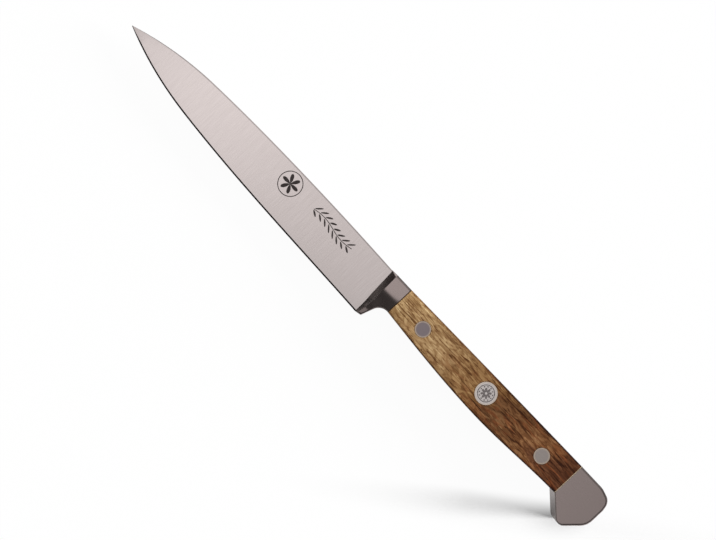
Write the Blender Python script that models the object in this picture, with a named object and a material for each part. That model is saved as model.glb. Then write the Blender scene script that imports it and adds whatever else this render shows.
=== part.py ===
"""Paring knife with a drop-forged full-tang blade and riveted oak scales, lying on its side.

All sizes are in metres. The pieces are modelled in the knife's own axes and hang on one empty:
X runs from the tip to the butt, Y from the cutting edge to the spine, and Z through the
thickness, with the knife's middle plane at Z = 0. The empty lays the knife on the ground plane
with the centre of its bounding box over the origin.
"""

import math

import bmesh
import bpy
from mathutils import Matrix, Vector

# Clearances
FIT_GAP = 0.0003  # between any two pieces that fit together

# Blade, with depths and heights taken from the knife's axis
BLADE_LENGTH = 0.1303  # tip to the front of the bolster, on the axis
POINT_LENGTH = 0.036  # from the tip to where the strongly curved point ends
SPINE_AT_POINT = 0.00724
SPINE_AT_CROWN = 0.00864
CROWN_FROM_TIP = 0.092
SPINE_AT_HEEL = 0.0081
EDGE_AT_POINT = 0.00815
EDGE_AT_HEEL = 0.0119
SPINE_RISE_AT_TIP = 0.344  # slopes of the two outlines, height gained per length
SPINE_RISE_AT_POINT = 0.06
SPINE_FALL_AT_HEEL = 0.028
EDGE_DROP_AT_TIP = 0.423
EDGE_DROP_AT_POINT = 0.104
EDGE_DROP_AT_HEEL = 0.03
BLADE_THICKNESS_AT_HEEL = 0.0024
BLADE_THICKNESS_AT_TIP = 0.0009
FLANK_BULGE = 0.00012  # how far the ground flank stands out of a flat wedge
EDGE_BEVEL_WIDTH = 0.0006
EDGE_BEVEL_THICKNESS = 0.0004  # thickness where the cutting bevel starts
SPINE_CHAMFER = 0.00035
TIP_BLUNTING = 0.00015  # the point is ground back this far
BLADE_BITE = 0.0006  # how far the blade's form runs into the bolster's
EDGE_LIFT_IN_BITE = 0.00045  # and how far its edge is lifted there, clear of the guard's foot

# Handle outline, shared by the tang, the scales and the two forged ends
HANDLE_THICKNESS = 0.0145
EDGE_ROUNDING = 0.001
SCALE_LENGTH = 0.0882
SPINE_AT_BOLSTER = 0.0082
SPINE_AT_BUTT = 0.00945
HANDLE_SPINE_BOW = 0.0001
BELLY_AT_BOLSTER = 0.00346
BELLY_AT_SWELL = 0.00614
SWELL_FROM_BOLSTER = 0.048
BELLY_AT_BUTT = 0.00416
BELLY_DROP_AT_BOLSTER = 0.0877
BELLY_RISE_AT_BUTT = 0.02
TANG_THICKNESS = 0.0035
TANG_RECESS = 0.0002  # the tang's rim lies this far inside the scales' outline
TANG_BITE = 0.0015  # how far the tang runs into the bolster and the butt cap

# Bolster and finger guard
BOLSTER_LENGTH = 0.009  # front line to the scales, on the axis
BOLSTER_LEAN = 0.07  # the front line leans back this much per depth below the spine
RAMP_BITE = 0.0003  # the bolster's form starts this far ahead of its front line, inside the blade
RAMP_LENGTH = 0.0023  # run of the ramp that climbs from the blade to the full thickness
RAMP_BEND_RUN = 0.75  # where the hollow ramp bends, as shares of its run and its rise
RAMP_BEND_RISE = 0.28
FULL_WIDTH_ABOVE_AXIS = 0.0008  # the side starts to thin below this height
GUARD_THIN_DEPTH = 0.0095  # and is down to the guard's thickness at this depth
GUARD_THICKNESS = 0.003
HEEL_STEP = 0.00015  # the cutting edge ends this far below the guard's foot
GUARD_FOOT_LENGTH = 0.0033  # front line on the axis to the guard's rear corner
GUARD_FOOT_RISE = 0.0006  # the foot's rear corner lies this far above its front
GUARD_FOOT_RADIUS = 0.0006
GUARD_REAR_LEAN = math.radians(16.5)
FINGER_RADIUS = 0.0044

# Butt cap
BUTT_LENGTH = 0.0167
SHOULDER_FROM_BUTT_END = 0.0059  # where the spine starts to fall
SHOULDER_RADIUS = 0.008
CORNER_FROM_BUTT_END = 0.0012  # the tighter bend between spine and end
CORNER_HEIGHT = 0.0076
CORNER_RADIUS = 0.0026
UPRIGHT_TOP = 0.002  # the end is upright from here down
UPRIGHT_RADIUS = 0.008
SLANT_DEPTH = 0.00405  # and slants forward to the beak from here down
SLANT_RADIUS = 0.0095
BEAK_FROM_BUTT_END = 0.00764
BEAK_DEPTH = 0.0117
BEAK_RADIUS = 0.0022

# Rivets
SMALL_HEAD_DIAMETER = 0.006
COIN_HEAD_DIAMETER = 0.0085
HEAD_THICKNESS = 0.0012
SHANK_DIAMETER = 0.004
BORE_DIAMETER = 0.0024
BORE_DEPTH = 0.008
FRONT_RIVET_FROM_BOLSTER = 0.0132
FRONT_RIVET_HEIGHT = 0.0015
MIDDLE_RIVET_FROM_BOLSTER = 0.0454
MIDDLE_RIVET_HEIGHT = 0.0023
REAR_RIVET_FROM_BUTT = 0.0128
REAR_RIVET_HEIGHT = 0.0015

# Fineness of the faceted surfaces
BLADE_STATIONS = 44
TIP_CROWDING = 1.6  # power by which the blade's stations crowd towards the tip
HANDLE_STATIONS = 30
ARC_STEPS = 8
ROUNDING_STEPS = 4
RAMP_STEPS = 5
GUARD_ROW_HEIGHT = 0.0006  # tallest row of facets on the finger guard
WELD_DISTANCE = 0.000001  # joins the points of a turned profile that lie on its axis
SHARPEST_SMOOTH_ANGLE = math.radians(30)  # a sharper bend than this is shaded as an edge
TURNED_STEPS = 32

# Places that follow from the sizes
HALF = HANDLE_THICKNESS / 2
SCALES_START = BLADE_LENGTH + BOLSTER_LENGTH
SCALES_END = SCALES_START + SCALE_LENGTH
BUTT_END = SCALES_END + BUTT_LENGTH
GUARD_DEPTH = EDGE_AT_HEEL - HEEL_STEP
GUARD_FOOT_DEPTH = GUARD_DEPTH - GUARD_FOOT_RISE
RIVETS = (
    ("front_rivet", SCALES_START + FRONT_RIVET_FROM_BOLSTER, FRONT_RIVET_HEIGHT, SMALL_HEAD_DIAMETER),
    ("middle_rivet", SCALES_START + MIDDLE_RIVET_FROM_BOLSTER, MIDDLE_RIVET_HEIGHT, COIN_HEAD_DIAMETER),
    ("rear_rivet", SCALES_END - REAR_RIVET_FROM_BUTT, REAR_RIVET_HEIGHT, SMALL_HEAD_DIAMETER),
)


def clear_scene():
    for obj in list(bpy.data.objects):
        bpy.data.objects.remove(obj, do_unlink=True)


def linear(colour):
    """An sRGB colour, 0 to 255, as the linear values that a shader takes."""
    shares = [channel / 255 for channel in colour]
    return [c / 12.92 if c <= 0.04045 else ((c + 0.055) / 1.055) ** 2.4 for c in shares]


def finish(name, colour, metallic, roughness):
    material = bpy.data.materials.new(name)
    material.use_nodes = True
    shader = material.node_tree.nodes["Principled BSDF"]
    shader.inputs["Base Color"].default_value = (*linear(colour), 1)
    shader.inputs["Metallic"].default_value = metallic
    shader.inputs["Roughness"].default_value = roughness
    material.diffuse_color = (*linear(colour), 1)
    return material


def smoothstep(share):
    share = min(max(share, 0), 1)
    return share * share * (3 - 2 * share)


def curve_through(knots):
    """A height as a function of x, cubic between knots of (x, height, slope), level outside them."""

    def height(x):
        x = min(max(x, knots[0][0]), knots[-1][0])
        for (x0, h0, m0), (x1, h1, m1) in zip(knots, knots[1:]):
            if x <= x1:
                break
        span = x1 - x0
        t = (x - x0) / span
        ease = t * t * (3 - 2 * t)
        lift = m0 * t * (1 - t) ** 2 - m1 * t * t * (1 - t)
        return h0 + (h1 - h0) * ease + span * lift

    return height


blade_spine = curve_through(
    (
        (0, 0, SPINE_RISE_AT_TIP),
        (POINT_LENGTH, SPINE_AT_POINT, SPINE_RISE_AT_POINT),
        (CROWN_FROM_TIP, SPINE_AT_CROWN, 0),
        (BLADE_LENGTH, SPINE_AT_HEEL, -SPINE_FALL_AT_HEEL),
    )
)
blade_edge = curve_through(
    (
        (0, 0, -EDGE_DROP_AT_TIP),
        (POINT_LENGTH, -EDGE_AT_POINT, -EDGE_DROP_AT_POINT),
        (BLADE_LENGTH, -EDGE_AT_HEEL, -EDGE_DROP_AT_HEEL),
    )
)
handle_belly = curve_through(
    (
        (SCALES_START, -BELLY_AT_BOLSTER, -BELLY_DROP_AT_BOLSTER),
        (SCALES_START + SWELL_FROM_BOLSTER, -BELLY_AT_SWELL, 0),
        (SCALES_END, -BELLY_AT_BUTT, BELLY_RISE_AT_BUTT),
    )
)


def handle_spine(x):
    share = min(max((x - SCALES_START) / SCALE_LENGTH, 0), 1)
    return (
        SPINE_AT_BOLSTER
        + (SPINE_AT_BUTT - SPINE_AT_BOLSTER) * share
        + 4 * HANDLE_SPINE_BOW * share * (1 - share)
    )


def bolster_front(y):
    """The line where the bolster's ramp rises out of the blade."""
    return BLADE_LENGTH - BOLSTER_LEAN * y


def spread(start, end, steps):
    return [start + (end - start) * i / steps for i in range(steps + 1)]


def arc(start, end, steps):
    """Cosines and sines from one angle in degrees to another."""
    return [
        (math.cos(math.radians(angle)), math.sin(math.radians(angle)))
        for angle in spread(start, end, steps)
    ]


def skin(name, rings):
    """One closed mesh over rings of equal count, with its two ends capped."""
    mesh = bpy.data.meshes.new(name)
    bm = bmesh.new()
    loops = [[bm.verts.new(point) for point in ring] for ring in rings]
    for near, far in zip(loops, loops[1:]):
        for i in range(len(near)):
            j = (i + 1) % len(near)
            bm.faces.new((near[i], near[j], far[j], far[i]))
    bm.faces.new(loops[0])
    bm.faces.new(loops[-1])
    bmesh.ops.recalc_face_normals(bm, faces=bm.faces)
    bm.to_mesh(mesh)
    bm.free()
    return mesh


def turned(name, profile):
    """A solid of revolution about Z from (radius, z) points that start and end on the axis."""
    mesh = bpy.data.meshes.new(name)
    bm = bmesh.new()
    points = [bm.verts.new((radius, 0, z)) for radius, z in profile]
    edges = [bm.edges.new(pair) for pair in zip(points, points[1:])]
    bmesh.ops.spin(
        bm,
        geom=points + edges,
        cent=(0, 0, 0),
        axis=(0, 0, 1),
        angle=2 * math.pi,
        steps=TURNED_STEPS,
        use_merge=True,
    )
    bmesh.ops.remove_doubles(bm, verts=bm.verts, dist=WELD_DISTANCE)
    bmesh.ops.recalc_face_normals(bm, faces=bm.faces)
    bm.to_mesh(mesh)
    bm.free()
    return mesh


def place(name, mesh, frame, material=None):
    obj = bpy.data.objects.new(name, mesh)
    bpy.context.scene.collection.objects.link(obj)
    obj.parent = frame
    if material is None:
        obj.hide_render = True
        obj.display_type = "WIRE"
    else:
        mesh.materials.append(material)
        mesh.shade_smooth()
        mesh.set_sharp_from_angle(angle=SHARPEST_SMOOTH_ANGLE)
    return obj


def combine(obj, other, operation):
    modifier = obj.modifiers.new(other.name, "BOOLEAN")
    modifier.operation = operation
    modifier.solver = "EXACT"
    modifier.object = other


def rounded_loop(corners, inset):
    """Points round a polygon of (x, y, radius, moves) corners, counterclockwise.

    Each side from a corner marked moves is shifted inwards by inset. A radius shrinks with the
    inset where the polygon turns outwards, grows where it turns inwards, and 0 stays sharp. Two
    arcs that would not both fit on the side between them share it.
    """
    count = len(corners)
    places = [Vector(corner[:2]) for corner in corners]
    along = [(places[(i + 1) % count] - places[i]).normalized() for i in range(count)]
    starts = [
        places[i] + Vector((-along[i].y, along[i].x)) * (inset if corners[i][3] else 0)
        for i in range(count)
    ]
    spots, turns, radii = [], [], []
    for i in range(count):
        before, after = along[i - 1], along[i]
        turn = math.atan2(before.x * after.y - before.y * after.x, before.dot(after))
        offset = starts[i] - starts[i - 1]
        reach = (offset.x * after.y - offset.y * after.x) / math.sin(turn)
        spots.append(starts[i - 1] + before * reach)
        turns.append(turn)
        radius = corners[i][2]
        radii.append(radius - math.copysign(inset, turn) if radius else 0)
    tangents = [radius * math.tan(abs(turn) / 2) for radius, turn in zip(radii, turns)]
    room = []
    for i in range(count):
        side = (spots[(i + 1) % count] - spots[i]).length
        room.append(side / max(tangents[i] + tangents[(i + 1) % count], side))
    points = []
    for i in range(count):
        if radii[i] == 0:
            points.append(spots[i])
            continue
        share = min(room[i - 1], room[i])
        first = spots[i] - along[i - 1] * tangents[i] * share
        normal = Vector((-along[i - 1].y, along[i - 1].x)) * math.copysign(1, turns[i])
        centre = first + normal * radii[i] * share
        points += [
            centre + Matrix.Rotation(turns[i] * k / ARC_STEPS, 2) @ (first - centre)
            for k in range(ARC_STEPS + 1)
        ]
    return points


def butt_loop(inset):
    """The butt cap's outline from the side, drawn in by inset except where it meets the scales."""
    return rounded_loop(
        (
            (SCALES_END, -BELLY_AT_BUTT, 0, True),
            (BUTT_END - BEAK_FROM_BUTT_END, -BEAK_DEPTH, BEAK_RADIUS, True),
            (BUTT_END, -SLANT_DEPTH, SLANT_RADIUS, True),
            (BUTT_END, UPRIGHT_TOP, UPRIGHT_RADIUS, True),
            (BUTT_END - CORNER_FROM_BUTT_END, CORNER_HEIGHT, CORNER_RADIUS, True),
            (BUTT_END - SHOULDER_FROM_BUTT_END, SPINE_AT_BUTT, SHOULDER_RADIUS, True),
            (SCALES_END, SPINE_AT_BUTT, 0, False),
        ),
        inset,
    )


def butt_cap():
    """Flat sides and a rounded rim, as rings of the same outline stacked through the thickness."""
    quarter = arc(0, 90, ROUNDING_STEPS)
    upper = [(EDGE_ROUNDING * (1 - c), HALF - EDGE_ROUNDING * (1 - s)) for c, s in quarter]
    levels = [(inset, -z) for inset, z in reversed(upper)] + upper
    return skin(
        "butt_cap_form",
        [[(p.x, p.y, z) for p in butt_loop(inset)] for inset, z in levels],
    )


def blade_section(x, lean_share, lift=0):
    """Ring round the blade at x, leaning with the bolster's front line as lean_share goes to 1."""
    spine, edge = blade_spine(x), blade_edge(x) + lift
    height = spine - edge
    along = min(x / BLADE_LENGTH, 1)
    thick = BLADE_THICKNESS_AT_TIP + (BLADE_THICKNESS_AT_HEEL - BLADE_THICKNESS_AT_TIP) * along
    near_tip = min(height / (SPINE_AT_POINT + EDGE_AT_POINT), 1)
    top, shoulder = thick / 2 * near_tip, EDGE_BEVEL_THICKNESS / 2 * near_tip
    chamfer = SPINE_CHAMFER * near_tip
    bevel = edge + EDGE_BEVEL_WIDTH * near_tip
    side = []
    for share in spread(0, 1, ROUNDING_STEPS):
        y = bevel + (spine - chamfer - bevel) * share
        bulge = 4 * FLANK_BULGE * share * (1 - share) * near_tip
        side.append((y, shoulder + (top - shoulder) * share + bulge))
    side.append((spine, top - chamfer))
    outline = [(edge, 0)] + side + [(y, -z) for y, z in reversed(side)]
    return [(x - BOLSTER_LEAN * y * lean_share, y, z) for y, z in outline]


def blade():
    """Rings from the tip to the bolster, closer together along the curved point.

    The last ring lies inside the bolster.
    """
    point_run = POINT_LENGTH - TIP_BLUNTING
    point = [
        TIP_BLUNTING + point_run * share**TIP_CROWDING for share in spread(0, 1, BLADE_STATIONS // 2)
    ]
    body = spread(POINT_LENGTH, BLADE_LENGTH, BLADE_STATIONS // 2)[1:]
    rings = [
        blade_section(x, smoothstep((x - CROWN_FROM_TIP) / (BLADE_LENGTH - CROWN_FROM_TIP)))
        for x in point + body
    ]
    rings.append(blade_section(BLADE_LENGTH + BLADE_BITE, 1, EDGE_LIFT_IN_BITE))
    return skin("blade_form", rings)


def rounding_drop(distance, radius):
    """How far a rounded rim lies under the flat side, at a distance in from the outline."""
    short = min(max(radius - distance, 0), radius)
    return radius - math.sqrt(radius * radius - short * short)


def bolster_rim():
    """The bolster's outline seen from the side: from the heel round the finger guard to the scales."""
    foot = BLADE_LENGTH + GUARD_FOOT_LENGTH
    throat = foot + (GUARD_FOOT_DEPTH - BELLY_AT_BOLSTER) * math.tan(GUARD_REAR_LEAN)
    start = bolster_front(-GUARD_DEPTH) + RAMP_BITE
    outline = rounded_loop(
        (
            (start, -GUARD_DEPTH, 0, False),
            (foot, -GUARD_FOOT_DEPTH, GUARD_FOOT_RADIUS, False),
            (throat, -BELLY_AT_BOLSTER, FINGER_RADIUS, False),
            (SCALES_START, -BELLY_AT_BOLSTER, 0, False),
            (SCALES_START, SPINE_AT_BOLSTER, 0, False),
            (start, SPINE_AT_BOLSTER, 0, False),
        ),
        0,
    )
    return outline[:-2]


def distance_to(rim, x, y):
    """From a spot to the nearest side of an open run of points."""
    spot = Vector((x, y))
    distances = []
    for near, far in zip(rim, rim[1:]):
        side = far - near
        share = (spot - near).dot(side) / side.length_squared
        distances.append((near + side * min(max(share, 0), 1) - spot).length)
    return min(distances)


def bolster_side(x, y, rim):
    """Half thickness of the bolster behind its ramp.

    Towards the scales it has the full width, and towards the blade it thins from just above the
    axis down to the finger guard. The rim is rounded.
    """
    guard = GUARD_THICKNESS / 2
    full_share = (y + GUARD_THIN_DEPTH) / (FULL_WIDTH_ABOVE_AXIS + GUARD_THIN_DEPTH)
    thinned = guard + (HALF - guard) * smoothstep(full_share)
    ramp_end = bolster_front(y) + RAMP_LENGTH
    flat = thinned + (HALF - thinned) * smoothstep((x - ramp_end) / (SCALES_START - ramp_end))
    rounding = min(EDGE_ROUNDING, flat / 2)
    return (
        flat
        - rounding_drop(distance_to(rim, x, y), rounding)
        - rounding_drop(SPINE_AT_BOLSTER - y, rounding)
    )


def bolster_rows(rim):
    """(y, x of the rear end) of the rows that the bolster is skinned over, from the heel up."""
    quarter = arc(0, 90, ROUNDING_STEPS)
    belly = [-BELLY_AT_BOLSTER + EDGE_ROUNDING * (1 - c) for c, _ in quarter]
    spine = [SPINE_AT_BOLSTER - EDGE_ROUNDING * (1 - s) for _, s in quarter]
    between = spread(belly[-1], spine[0], 2 * ARC_STEPS)[1:-1]
    guard = []
    for near, far in zip(rim[:-2], rim[1:-1]):
        steps = math.ceil((far.y - near.y) / GUARD_ROW_HEIGHT)
        guard += [(p.y, p.x) for p in (near.lerp(far, share) for share in spread(0, 1, steps)[:-1])]
    return guard + [(y, SCALES_START) for y in belly + between + spine]


def bolster_ring(y, rear, rim):
    """Ring at one height: ramp, side and rear rim above, and the same mirrored below.

    The ramp is lower and shorter where the side is thinner, and the ring stays in order where
    the foot of the guard is short.
    """
    front = bolster_front(y) - RAMP_BITE
    rounding = min(EDGE_ROUNDING, (rear - front) / 4)
    up_the_blade = (y + EDGE_AT_HEEL) / (SPINE_AT_HEEL + EDGE_AT_HEEL)
    thin = EDGE_BEVEL_THICKNESS + (BLADE_THICKNESS_AT_HEEL - EDGE_BEVEL_THICKNESS) * up_the_blade
    root = thin / 4  # inside the blade, at half its half thickness
    ramp_top = bolster_side(front + RAMP_LENGTH, y, rim)
    run = min(RAMP_LENGTH * (ramp_top - root) / (HALF - root), (rear - front) / 2)
    top = bolster_side(front + run, y, rim)
    upper = []
    for t in spread(0, 1, RAMP_STEPS):
        along = 2 * t * (1 - t) * RAMP_BEND_RUN + t * t
        climb = 2 * t * (1 - t) * RAMP_BEND_RISE + t * t
        upper.append((front + run * along, root + (top - root) * climb))
    flat = spread(front + run, rear - rounding, ARC_STEPS)[1:]
    edge = [rear - rounding * (1 - s) for _, s in arc(0, 90, ROUNDING_STEPS)[1:]]
    upper += [(x, bolster_side(x, y, rim)) for x in flat + edge]
    return [(x, y, z) for x, z in upper] + [(x, y, -z) for x, z in reversed(upper)]


def bolster():
    rim = bolster_rim()
    return skin("bolster_form", [bolster_ring(y, rear, rim) for y, rear in bolster_rows(rim)])


def tang():
    """Flat plate between the scales, running a little way into the bolster and the butt cap."""
    half = TANG_THICKNESS / 2
    rings = []
    for x in spread(SCALES_START - TANG_BITE, SCALES_END + TANG_BITE, HANDLE_STATIONS):
        low, high = handle_belly(x) + TANG_RECESS, handle_spine(x) - TANG_RECESS
        rings.append([(x, low, -half), (x, high, -half), (x, high, half), (x, low, half)])
    return skin("tang_form", rings)


def scale_form(name):
    """Slab on the upper side of the tang, with its outer long edges rounded."""
    inner = TANG_THICKNESS / 2 + FIT_GAP
    rings = []
    for x in spread(SCALES_START + FIT_GAP, SCALES_END - FIT_GAP, HANDLE_STATIONS):
        low, high = handle_belly(x), handle_spine(x)
        belly = [
            (low + EDGE_ROUNDING * (1 - c), HALF - EDGE_ROUNDING * (1 - s))
            for c, s in arc(0, 90, ROUNDING_STEPS)
        ]
        spine = [
            (high - EDGE_ROUNDING * (1 - c), HALF - EDGE_ROUNDING * (1 - s))
            for c, s in arc(90, 0, ROUNDING_STEPS)
        ]
        rings.append([(x, y, z) for y, z in [(low, inner)] + belly + spine + [(high, inner)]])
    return skin(name, rings)


def hole_cutter(head_diameter):
    """What a rivet needs of a scale: a hole for its shank and a seat for its head, on +Z."""
    shank = SHANK_DIAMETER / 2 + FIT_GAP
    head = head_diameter / 2 + FIT_GAP
    seat = HALF - HEAD_THICKNESS - FIT_GAP
    clear = HALF + HEAD_THICKNESS
    return turned("seat_cutter", ((0, 0), (shank, 0), (shank, seat), (head, seat), (head, clear), (0, clear)))


def barrel_half(head_diameter):
    """The half with the bored shank, its head on +Z."""
    head, shank, bore = head_diameter / 2, SHANK_DIAMETER / 2, BORE_DIAMETER / 2
    under_head = HALF - HEAD_THICKNESS
    end = -(under_head - FIT_GAP)
    profile = (
        (0, end + BORE_DEPTH),
        (bore, end + BORE_DEPTH),
        (bore, end),
        (shank, end),
        (shank, under_head),
        (head, under_head),
        (head, HALF),
        (0, HALF),
    )
    return turned("barrel_half", profile)


def post_half(head_diameter):
    """The half with the solid post that enters the bore, its head on -Z."""
    head, post = head_diameter / 2, BORE_DIAMETER / 2 - FIT_GAP
    under_head = HALF - HEAD_THICKNESS
    top = -(under_head - FIT_GAP) + BORE_DEPTH - FIT_GAP
    profile = ((0, -HALF), (head, -HALF), (head, -under_head), (post, -under_head), (post, top), (0, top))
    return turned("post_half", profile)


def build():
    clear_scene()
    steel = finish("satin_forged_steel", (190, 182, 180), 1.0, 0.32)
    oak = finish("oiled_oak", (150, 108, 68), 0.0, 0.5)
    rivet_steel = finish("rivet_steel", (150, 143, 140), 1.0, 0.3)

    outline = butt_loop(0)
    highest = max(SPINE_AT_CROWN, max(p.y for p in outline))
    lowest = min(-EDGE_AT_HEEL, min(p.y for p in outline))
    frame = bpy.data.objects.new("knife_axes", None)
    bpy.context.scene.collection.objects.link(frame)
    frame.location = (-(TIP_BLUNTING + BUTT_END) / 2, -(highest + lowest) / 2, HALF)

    forging = place("blade_forging", blade(), frame, steel)
    for form in (bolster(), tang(), butt_cap()):
        combine(forging, place(form.name, form, frame), "UNION")

    front = place("front_scale", scale_form("front_scale"), frame, oak)
    back = place("back_scale", scale_form("back_scale"), frame, oak)
    back.scale = (1, 1, -1)

    for name, x, y, head_diameter in RIVETS:
        spot = Matrix.Translation((x, y, 0))
        for scale, side in ((front, 1), (back, -1)):
            seat = place(f"{name}_seat_{side}", hole_cutter(head_diameter), frame)
            seat.matrix_local = spot @ Matrix.Rotation(0 if side == 1 else math.pi, 4, "X")
            combine(scale, seat, "DIFFERENCE")
        radius = SHANK_DIAMETER / 2 + FIT_GAP
        bore = turned("tang_hole", ((0, -HALF), (radius, -HALF), (radius, HALF), (0, HALF)))
        hole = place(f"{name}_tang_hole", bore, frame)
        hole.matrix_local = spot
        combine(forging, hole, "DIFFERENCE")
        barrel = place(f"{name}_barrel", barrel_half(head_diameter), frame, rivet_steel)
        barrel.matrix_local = spot
        post = place(f"{name}_post", post_half(head_diameter), frame, rivet_steel)
        post.matrix_local = spot


build()
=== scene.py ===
# Paring knife with a forged full-tang blade and riveted barrel-oak scales, lying on its side.
# Pieces are made in the knife's own axes, in metres: x from the tip to the butt, y from the
# cutting edge to the spine, z through the thickness, with the middle plane at z = 0.

import math

import bmesh
import bpy
from mathutils import Matrix, Vector


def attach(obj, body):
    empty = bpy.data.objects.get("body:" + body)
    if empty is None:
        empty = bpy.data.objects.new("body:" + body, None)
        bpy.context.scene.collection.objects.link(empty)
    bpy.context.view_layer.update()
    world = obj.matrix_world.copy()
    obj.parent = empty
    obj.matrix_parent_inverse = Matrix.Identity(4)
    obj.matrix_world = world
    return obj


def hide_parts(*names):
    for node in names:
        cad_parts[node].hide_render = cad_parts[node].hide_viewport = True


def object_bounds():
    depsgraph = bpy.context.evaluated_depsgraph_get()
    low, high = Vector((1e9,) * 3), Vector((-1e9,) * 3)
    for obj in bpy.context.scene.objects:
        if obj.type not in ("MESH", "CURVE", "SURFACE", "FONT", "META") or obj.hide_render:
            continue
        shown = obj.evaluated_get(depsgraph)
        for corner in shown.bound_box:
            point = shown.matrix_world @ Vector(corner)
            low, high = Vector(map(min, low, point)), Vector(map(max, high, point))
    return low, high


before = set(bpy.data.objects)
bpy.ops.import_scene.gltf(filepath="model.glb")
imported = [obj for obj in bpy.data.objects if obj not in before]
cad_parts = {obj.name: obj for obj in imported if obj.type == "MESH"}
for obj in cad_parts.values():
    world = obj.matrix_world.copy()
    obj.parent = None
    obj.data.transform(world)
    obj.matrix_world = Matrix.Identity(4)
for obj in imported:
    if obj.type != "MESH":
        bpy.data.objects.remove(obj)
cadLow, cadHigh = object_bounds()
print("stage: packed frame loaded")

mm = 0.001

# The handle's outline, which the scales, the tang and both forged ends share
handle = {
    "bladeLength": 130.3 * mm,  # tip to the bolster's front line, on the axis
    "bolsterLength": 9.0 * mm,
    "scaleLength": 88.2 * mm,
    "buttLength": 16.7 * mm,
    "thickness": 14.5 * mm,
    "edgeRounding": 1.0 * mm,
    "spineAtBolster": 8.2 * mm,
    "spineAtButt": 9.45 * mm,
    "spineBow": 0.1 * mm,
    "bellyAtBolster": 3.46 * mm,
    "bellyAtSwell": 6.14 * mm,
    "swellFromBolster": 48 * mm,
    "bellyAtButt": 4.16 * mm,
    "bellySlopes": (-0.0877, 0, 0.02),  # at the bolster, at the swell and at the butt cap
    "roundSteps": 8,
    # beside the finger guard the lower side falls away, and comes back to full thickness behind it
    "reliefTop": 3.4 * mm,
    "reliefBend": 3.5 * mm,
    "reliefSlope": 0.4,
    "reliefLength": 10 * mm,
}

half = handle["thickness"] / 2
scalesStart = handle["bladeLength"] + handle["bolsterLength"]
scalesEnd = scalesStart + handle["scaleLength"]
buttEnd = scalesEnd + handle["buttLength"]


def clamped(value, low=0, high=1):
    return min(max(value, low), high)


def smooth(share):
    share = clamped(share)
    return share * share * (3 - 2 * share)


def spread(start, end, steps):
    return [start + (end - start) * i / steps for i in range(steps + 1)]


def roundedEdge(width, depth):
    # from the side to the flat: how far in from the side and down from the flat each point lies
    angles = spread(0, math.pi / 2, handle["roundSteps"])
    return [(width * (1 - math.cos(a)), depth * (1 - math.sin(a))) for a in angles]


def arch(share):
    # 0 at both ends and 1 in the middle
    return 4 * share * (1 - share)


def curveThrough(knots):
    # a height over x, cubic between knots of (x, height, slope) and level outside them
    def height(x):
        x = clamped(x, knots[0][0], knots[-1][0])
        for (x0, h0, m0), (x1, h1, m1) in zip(knots, knots[1:]):
            if x <= x1:
                break
        t = (x - x0) / (x1 - x0)
        lift = m0 * t * (1 - t) ** 2 - m1 * t * t * (1 - t)
        return h0 + (h1 - h0) * smooth(t) + (x1 - x0) * lift

    return height


handleEdge = roundedEdge(handle["edgeRounding"], handle["edgeRounding"])
handleBelly = curveThrough((
    (scalesStart, -handle["bellyAtBolster"], handle["bellySlopes"][0]),
    (scalesStart + handle["swellFromBolster"], -handle["bellyAtSwell"], handle["bellySlopes"][1]),
    (scalesEnd, -handle["bellyAtButt"], handle["bellySlopes"][2]),
))


def handleSpine(x):
    share = clamped((x - scalesStart) / handle["scaleLength"])
    rise = handle["spineAtButt"] - handle["spineAtBolster"]
    return handle["spineAtBolster"] + rise * share + handle["spineBow"] * arch(share)


def relief(x, y):
    # how far the handle's side lies under its full thickness, at the joint and a little behind it
    depth = max(handle["reliefTop"] - y, 0)
    bend = handle["reliefBend"]
    fall = depth * depth / (2 * bend) if depth < bend else depth - bend / 2
    return handle["reliefSlope"] * fall * (1 - smooth((x - scalesStart) / handle["reliefLength"]))


def meshFrom(name, built):
    mesh = bpy.data.meshes.new(name)
    bmesh.ops.recalc_face_normals(built, faces=built.faces)
    built.to_mesh(mesh)
    built.free()
    return mesh


def skin(name, rings):
    # one closed mesh over rings of equal count, with its ends capped
    bm = bmesh.new()
    loops = [[bm.verts.new(point) for point in ring] for ring in rings]
    for near, far in zip(loops, loops[1:]):
        for i in range(len(near)):
            j = (i + 1) % len(near)
            bm.faces.new((near[i], near[j], far[j], far[i]))
    bm.faces.new(loops[0])
    bm.faces.new(loops[-1])
    return meshFrom(name, bm)


def turned(name, profile, spokes=96):
    # a closed solid turned round z from (radius, z) points that start and end on the axis
    bm = bmesh.new()
    turns = [2 * math.pi * i / spokes for i in range(spokes)]
    bottom, top = bm.verts.new((0, 0, profile[0][1])), bm.verts.new((0, 0, profile[-1][1]))
    loops = [
        [bm.verts.new((r * math.cos(a), r * math.sin(a), z)) for a in turns]
        for r, z in profile[1:-1]
    ]
    for i in range(spokes):
        j = (i + 1) % spokes
        bm.faces.new((bottom, loops[0][j], loops[0][i]))
        bm.faces.new((top, loops[-1][i], loops[-1][j]))
        for low, high in zip(loops, loops[1:]):
            bm.faces.new((low[i], low[j], high[j], high[i]))
    return meshFrom(name, bm)


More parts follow.
